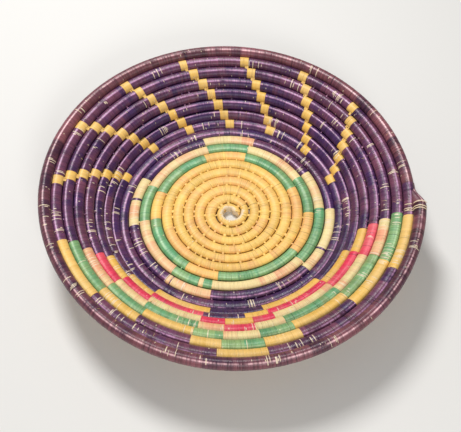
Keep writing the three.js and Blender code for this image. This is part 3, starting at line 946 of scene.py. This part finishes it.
def leaf_material(context, dye):
    """Satin leaf strands of one dye, with fibres, tones, fading, a painted highlight, painted
    shade in the seams, worn nicks and painted light around the eye.
    """
    name = f"{dye} leaf"
    if name in bpy.data.materials:
        return bpy.data.materials[name]
    dyes = context.scene.basket_dyes
    faded, highlight_colour, *finish, roughness = FINISHES[dye]
    material, tools, place, fibre = fibre_material(name)
    values = {label: tools.add("ShaderNodeAttribute", attribute_name=label).outputs["Fac"]
              for label in Shell.FACE_VALUES}
    split = tools.add("ShaderNodeSeparateXYZ", {0: place})
    around = tools.math("DIVIDE", split.outputs["Y"], GIRTH)
    colour = tools.add("ShaderNodeGroup", {
        "Dye": (*getattr(dyes, dye), 1), "Faded": (*linear(faded), 1),
        "Highlight colour": (*linear(highlight_colour), 1), **dict(zip(FINISH_INPUTS, finish)),
        "Fade": values["fade"], "Tone": values["tone"], "Crest": values["crest"],
        "Around": around, "Grain": fibre["Grain"], "Blotch": fibre["Blotch"],
        "Free side": float(dye == "plum")}, node_tree=strand_dye_group())
    nick = tools.add("ShaderNodeGroup", {
        "Around": around, "At": values["nick_and_light_at"], "Size": values["nick_and_light_size"]},
        node_tree=nick_and_light_group())
    # Pale where a nick wore the dye off, and painted light on the eye's inner side
    worn = tools.math("MULTIPLY", nick.outputs["Mask"], NICK_AND_LIGHT_PALENESS)
    base = tools.mix(worn, colour.outputs["Color"], (*dyes.pale, 1))
    rough = tools.math("MULTIPLY_ADD", fibre["Grain"], LEAF_GLOSS, roughness - LEAF_GLOSS / 2)
    add_surface(tools, base, rough, fibre["Grain"], *LEAF_BUMP)
    return material


def straw_material(context):
    """Dry grass stems, matt, with streaks along the bundle."""
    material, tools, _, fibre = fibre_material("grass stems", Fibres=150.0, Length=2500.0)
    straw = context.scene.basket_dyes.straw
    dark = tuple(c * STEM_DARK for c in straw)
    base = tools.mix(fibre["Grain"], (*dark, 1), (*straw, 1))
    add_surface(tools, base, STEM_ROUGH, fibre["Grain"], *STEM_BUMP)
    return material


class BASKET_OT_bundle(bpy.types.Operator):
    """Grass bundle: one unbroken tube of twisted stems from the eye to the tail"""

    bl_idname = "basket.bundle"
    bl_label = "Grass bundle"

    def execute(self, context):
        """The coil's skin set in by the wrap, with lobes that turn along it as stems do."""
        sizes = context.scene.basket_sizes
        coil = Coil(sizes)
        rings = int((LAST_TURN - FIRST_TURN) * CORE_STEPS)
        turns = np.linspace(FIRST_TURN + STEM_STARTS, LAST_TURN, rings)
        around = ring_angles(CORE_SIDES)
        twist = np.cos(STEM_TWISTS * TAU * turns)[:, None]
        lobes = STEM_LOBE * np.cos(STEM_LOBES * around) * twist
        inset = sizes.wrap + sizes.clearance + STEM_LOBE + lobes
        points = coil.skin(turns[:, None], around, inset).reshape(-1, 3)
        quads = tube_quads(rings, CORE_SIDES)
        shell = Shell()
        shell.add(points, quads, tube_uv((turns - FIRST_TURN) * STEM_UV, around),
                  np.tile(shell.PLAIN, (len(quads), 1)))
        shell.build("grass_bundle", straw_material(context), ["foundation_coil"])
        return {"FINISHED"}


class BASKET_OT_floor(bpy.types.Operator):
    """Natural wrap of the floor, from the eye to the star"""

    bl_idname = "basket.floor"
    bl_label = "Floor wrap"

    def execute(self, context):
        """All natural strands from the eye to the star's first row."""
        nodes = node_names("start_wrap", "turn_01", "turn_02", "turn_03", "turn_04", "turn_05",
                           "turn_06_natural")
        wrap_piece(context, "floor_wrap", NATURAL, (-2, STAR_ROWS[0]), nodes)
        return {"FINISHED"}


class BASKET_OT_star(bpy.types.Operator):
    """Green and cream star ring around the floor, on purple"""

    bl_idname = "basket.star"
    bl_label = "Star ring"

    def execute(self, context):
        """Three pieces, one for each dye of the star."""
        parts = [
            ("star_green", GREEN, "green", node_names("turn_06_green", "turn_07_green")),
            ("star_cream", CREAM, "cream", node_names("turn_07_cream", "turn_08_cream")),
            ("star_purple", PURPLE, "purple", node_names("turn_08_purple", "turn_09_purple"))]
        for name, dye, slot, nodes in parts:
            wrap_piece(context, name, dye, STAR_ROWS, nodes)
        return {"FINISHED"}


class BASKET_OT_wall(bpy.types.Operator):
    """Purple wrap of the wall, in an inner and an outer piece"""

    bl_idname = "basket.wall"
    bl_label = "Purple wall"

    def execute(self, context):
        """Two pieces, split between the twelfth row and the thirteenth."""
        parts = [("wall_purple_inner", (9, 12), ("turn_10", "turn_11", "turn_12", "turn_13")),
                 ("wall_purple_outer", (13, 15), ("turn_14", "turn_15", "turn_16"))]
        for name, rows, turns in parts:
            nodes = [node for node in node_names(*turns) if node.endswith("purple")]
            wrap_piece(context, name, PURPLE, rows, nodes)
        return {"FINISHED"}


class BASKET_OT_band(bpy.types.Operator):
    """Stepped band of five colours, and the golden slanting bars"""

    bl_idname = "basket.band"
    bl_label = "Stepped band and bars"

    def execute(self, context):
        """One piece for each dye of the band. The golden one holds the bars too."""
        parts = [("band_gold", GOLD, "natural", ("turn_10_band", "turn_16_band")),
                 ("band_green", GREEN, "green", ("turn_15_band",)),
                 ("band_cream", CREAM, "cream", ("turn_12_band", "turn_14_band")),
                 ("band_pink", PINK, "pink", ("turn_11_band", "turn_13_band"))]
        for name, dye, slot, nodes in parts:
            wrap_piece(context, name, dye, BAR_ROWS, nodes)
        return {"FINISHED"}


class BASKET_OT_rim(bpy.types.Operator):
    """Faded red-brown wrap of the rim"""

    bl_idname = "basket.rim"
    bl_label = "Rim wrap"

    def execute(self, context):
        """The outermost row, up to the tail."""
        wrap_piece(context, "rim_wrap", PLUM, (15, 17), node_names("turn_17_rim"))
        return {"FINISHED"}


class BASKET_OT_tail(bpy.types.Operator):
    """Tail that runs out against the row inside it, tied down with pale strands"""

    bl_idname = "basket.tail"
    bl_label = "Tail"

    ROW_INSIDE = 0.66           # turns back to the crest that the tail's inner edge follows
    GAP = 0.0004                # turns from the end of the rim's last strand
    LEAN = 0.0016               # turns that a strand leans by
    PROUD = 0.25 * MM           # what the tail is thicker by than the coil, each side
    THINS = 0.5                 # share of the thickness that is lost at the tip
    TONES = (-0.4, 1.0)
    TIE_PLACES = (-0.0048, -0.0026, 0.0018)     # turns from the end of the coil
    TIE_WIDTH = 1.0 * MM
    TIE_DEPTH = 0.22 * MM       # half of its thickness
    TIE_INSIDE = (118, 92, 66, 46)              # degrees around the row inside the tail
    TIE_OVER = (136, 112, 90, 64, 36, 8, -20)   # degrees around the end of the coil

    def execute(self, context):
        """Rings of the rim's section that narrow evenly. Each reaches from the crest of the
        row inside it to an outer edge that draws in to the tip, with a groove every strand."""
        sizes = context.scene.basket_sizes
        coil = Coil(sizes)
        strands = int(sizes.tail / sizes.strand)
        rings = 3 * strands + 1
        share = np.linspace(0, 1, rings)
        span = sizes.tail / (TAU * coil.radius(np.array([LAST_TURN])))
        turns = LAST_TURN + self.GAP + span * share
        inner = coil.line(turns - self.ROW_INSIDE)
        full = sizes.wall_coil + (sizes.tail_tip - sizes.wall_coil) * smoothstep(share, -0.1, 0.8)
        slope = np.radians(bowl_slope(turns))
        outer = coil.line(turns) + full * np.stack([np.cos(slope), np.sin(slope)])
        width = np.hypot(*(outer - inner))
        groove = np.where(np.arange(rings) % 3 == 0, sizes.relief * 1.6, 0)
        thick = (sizes.wall_coil / 2 + self.PROUD) * (1 - self.THINS * share ** 1.5) - groove
        around = ring_angles(SIDES)
        points = coil.oval(
            turns[:, None] + self.LEAN * np.cos(around), (inner + outer)[..., None] / 2,
            ((outer - inner) / width)[..., None], (width / 2 - groove)[:, None],
            thick[:, None], around, SECTION_POWER)
        quads = tube_quads(rings, SIDES)
        tone = np.random.default_rng(SEED + 7).uniform(*self.TONES, strands)
        tone = np.repeat(tone, 3 * SIDES)
        # Each face: tone, fading, the side of the painted highlight, and no nick
        values = np.tile([0, 0.75, 0.08, 0, 0], (len(quads), 1))
        values[:len(tone), 0] = tone
        shell = Shell()
        shell.add(points.reshape(-1, 3), quads, tube_uv(sizes.tail * share, around), values)
        shell.build("tail_wrap_strands", leaf_material(context, "plum"), ["tail_wrap"])
        self.add_ties(context, coil)
        return {"FINISHED"}

    def add_ties(self, context, coil):
        """Pale strands over the end of the coil, from the crest of the row inside it around
        to its outer flank."""
        turns = LAST_TURN + np.array(self.TIE_PLACES)
        inside = coil.skin((turns - 1)[:, None], np.radians(self.TIE_INSIDE), -0.3 * MM)
        over = coil.skin(turns[:, None], np.radians(self.TIE_OVER), -0.42 * MM)
        middles = np.concatenate([inside, over], 1)
        half = np.full(middles.shape[:2], self.TIE_WIDTH / 2)
        shell = Shell()
        values = np.tile([0.6, 0.3, 0.1, 0.25, 0.6], (len(turns), 1))
        add_ribbons(shell, turns, middles, half, self.TIE_DEPTH, values)
        shell.build("tail_ties", leaf_material(context, "cream"))


class BASKET_OT_slivers(bpy.types.Operator):
    """Loose pale fibres that stand off the strands"""

    bl_idname = "basket.slivers"
    bl_label = "Loose fibres"

    FROM_TURN = 7
    OUTWARD = 0.7               # under 1 more of them are in the outer rows
    STARTS = (35, 120)          # degrees around the coil where a fibre leaves it
    REACHES = (14, 34)          # degrees around the coil from its root to its tip
    LIFTS = (0.2, 0.9)          # millimetres that its tip stands off
    SLIDES = (-0.0015, 0.0015)  # turns that its tip strays along the coil
    WIDTHS = (0.6, 1.3)         # how much their widths vary
    TAPER = 0.8                 # how much narrower a tip is
    TONES, FADES = (-1, 1), (0, 0.4)
    HALF_WIDTH, HALF_DEPTH = 0.2 * MM, 0.07 * MM
    STEPS = 5                   # points along a fibre

    def execute(self, context):
        """Short ribbons that leave the coil's skin across it and lift off along a parabola."""
        sizes = context.scene.basket_sizes
        coil = Coil(sizes)
        rng = np.random.default_rng(SEED + 9)
        count = sizes.slivers
        turns = (LAST_TURN - 0.1 - self.FROM_TURN) * rng.random(count) ** self.OUTWARD
        turns = self.FROM_TURN + turns
        start = rng.uniform(*self.STARTS, count)
        reach = rng.uniform(*self.REACHES, count) * rng.choice([-1, 1], count)
        share = np.linspace(0, 1, self.STEPS)
        around = np.radians(start[:, None] + reach[:, None] * share)
        lift = rng.uniform(*self.LIFTS, count)[:, None] * MM * share ** 2
        slide = rng.uniform(*self.SLIDES, count)[:, None] * share
        middles = coil.skin(turns[:, None] + slide, around, -lift)
        half = rng.uniform(*self.WIDTHS, count)[:, None]
        half = self.HALF_WIDTH * (1 - self.TAPER * share) * half
        values = np.zeros((count, len(Shell.FACE_VALUES)))
        values[:, 0] = rng.uniform(*self.TONES, count)
        values[:, 1] = rng.uniform(*self.FADES, count)
        shell = Shell()
        add_ribbons(shell, turns, middles, half, self.HALF_DEPTH, values)
        shell.build("loose_fibres", leaf_material(context, "cream"))
        return {"FINISHED"}


class BASKET_OT_stage(bpy.types.Operator):
    """Pale floor, soft lamps and the camera"""

    bl_idname = "basket.stage"
    bl_label = "Stage"

    IMAGE_SIZE = (461, 432)
    AXIS_PIXEL = (229.538, 211.998)    # where the middle of the basket lies in the picture
    FLOOR_HALF = 3.0
    LAMP_SIZE = 0.4
    # Name, place, and share of the power
    LAMPS = [("key", (-0.3, 0.57, 1.12), 1.0), ("front", (0.25, -1.05, 0.75), 0.45)]

    def execute(self, context):
        """Makes the floor, the light and the camera."""
        stage = context.scene.basket_stage
        self.make_floor(context, stage)
        self.make_light(context, stage)
        self.make_camera(context, stage)
        context.scene.view_settings.view_transform = "Standard"
        return {"FINISHED"}

    def make_floor(self, context, stage):
        """A flat sheet on the plane that the basket stands on."""
        half = self.FLOOR_HALF
        mesh = bpy.data.meshes.new("floor")
        mesh.from_pydata([(-half, -half, 0), (half, -half, 0), (half, half, 0), (-half, half, 0)],
                         [], [(0, 1, 2, 3)])
        material = bpy.data.materials.new("floor")
        material.use_nodes = True
        shader = material.node_tree.nodes["Principled BSDF"]
        shader.inputs["Base Color"].default_value = (*stage.floor, 1)
        shader.inputs["Roughness"].default_value = 0.9
        mesh.materials.append(material)
        floor = bpy.data.objects.new("floor", mesh)
        context.scene.collection.objects.link(floor)
        floor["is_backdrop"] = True

    def make_light(self, context, stage):
        """A lamp high behind the basket, a weaker one in front, and even light all round."""
        for name, place, share in self.LAMPS:
            data = bpy.data.lights.new(name, "AREA")
            data.shape = "DISK"
            data.size = self.LAMP_SIZE
            data.energy = stage.lamp * share
            lamp = bpy.data.objects.new(name, data)
            lamp.location = place
            lamp.rotation_euler = (-Vector(place)).to_track_quat("-Z", "Y").to_euler()
            context.scene.collection.objects.link(lamp)
        world = bpy.data.worlds.new("studio")
        world.use_nodes = True
        background = world.node_tree.nodes["Background"]
        background.inputs["Color"].default_value = (1, 1, 1, 1)
        background.inputs["Strength"].default_value = stage.fill
        context.scene.world = world

    def make_camera(self, context, stage):
        """The camera stands towards -Y at its elevation and looks at the coil's middle. The
        shift puts that point where the picture has it."""
        data = bpy.data.cameras.new("camera")
        data.lens = stage.lens
        data.sensor_width = 36
        wide, high = self.IMAGE_SIZE
        data.shift_x = (wide / 2 - self.AXIS_PIXEL[0]) / wide
        data.shift_y = (self.AXIS_PIXEL[1] - high / 2) / wide
        data.clip_start = 0.01
        camera = bpy.data.objects.new("camera", data)
        aim = Vector((*AXIS, context.scene.basket_sizes.start_height))
        away = Vector((0, -math.cos(stage.elevation), math.sin(stage.elevation)))
        turn = Matrix.Rotation(math.pi / 2 - stage.elevation, 4, "X")
        camera.matrix_world = (Matrix.Translation(aim + away * stage.distance) @ turn
                               @ Matrix.Rotation(-stage.roll, 4, "Z"))
        context.scene.collection.objects.link(camera)
        context.scene.camera = camera


OPERATORS = [BASKET_OT_stage, BASKET_OT_bundle, BASKET_OT_floor, BASKET_OT_star, BASKET_OT_wall,
             BASKET_OT_band, BASKET_OT_rim, BASKET_OT_tail, BASKET_OT_slivers]
GROUPS = {"basket_sizes": BasketSizes, "basket_dyes": BasketDyes, "basket_stage": BasketStage}


class BASKET_PT_panel(bpy.types.Panel):
    """Lists the basket's sizes, colours and pieces in the sidebar"""

    bl_idname = "BASKET_PT_panel"
    bl_label = "Coiled bowl basket"
    bl_space_type = "VIEW_3D"
    bl_region_type = "UI"
    bl_category = "Basket"

    def draw(self, context):
        """One field for each property and one button for each piece."""
        for name, group in GROUPS.items():
            box = self.layout.box()
            box.label(text=group.__name__)
            for key in group.__annotations__:
                box.prop(getattr(context.scene, name), key)
        for operator in OPERATORS:
            self.layout.operator(operator.bl_idname)


def register():
    """Registers the classes and hangs the property groups on the scene."""
    for cls in (*GROUPS.values(), *OPERATORS, BASKET_PT_panel):
        bpy.utils.register_class(cls)
    for name, group in GROUPS.items():
        setattr(bpy.types.Scene, name, PointerProperty(type=group))


def unregister():
    """Takes back what register did."""
    for name in GROUPS:
        delattr(bpy.types.Scene, name)
    for cls in reversed((*GROUPS.values(), *OPERATORS, BASKET_PT_panel)):
        bpy.utils.unregister_class(cls)


def corners(box):
    """A box's two corners as plain lists."""
    return [[float(value) for value in corner] for corner in box]


def main():
    """Makes the whole basket and its stage."""
    register()
    for operator in OPERATORS:
        group, name = operator.bl_idname.split(".")
        getattr(getattr(bpy.ops, group), name)()
    {"cad": corners(CAD_BOX), "visual": corners(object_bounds())}


if __name__ == "__main__":
    main()
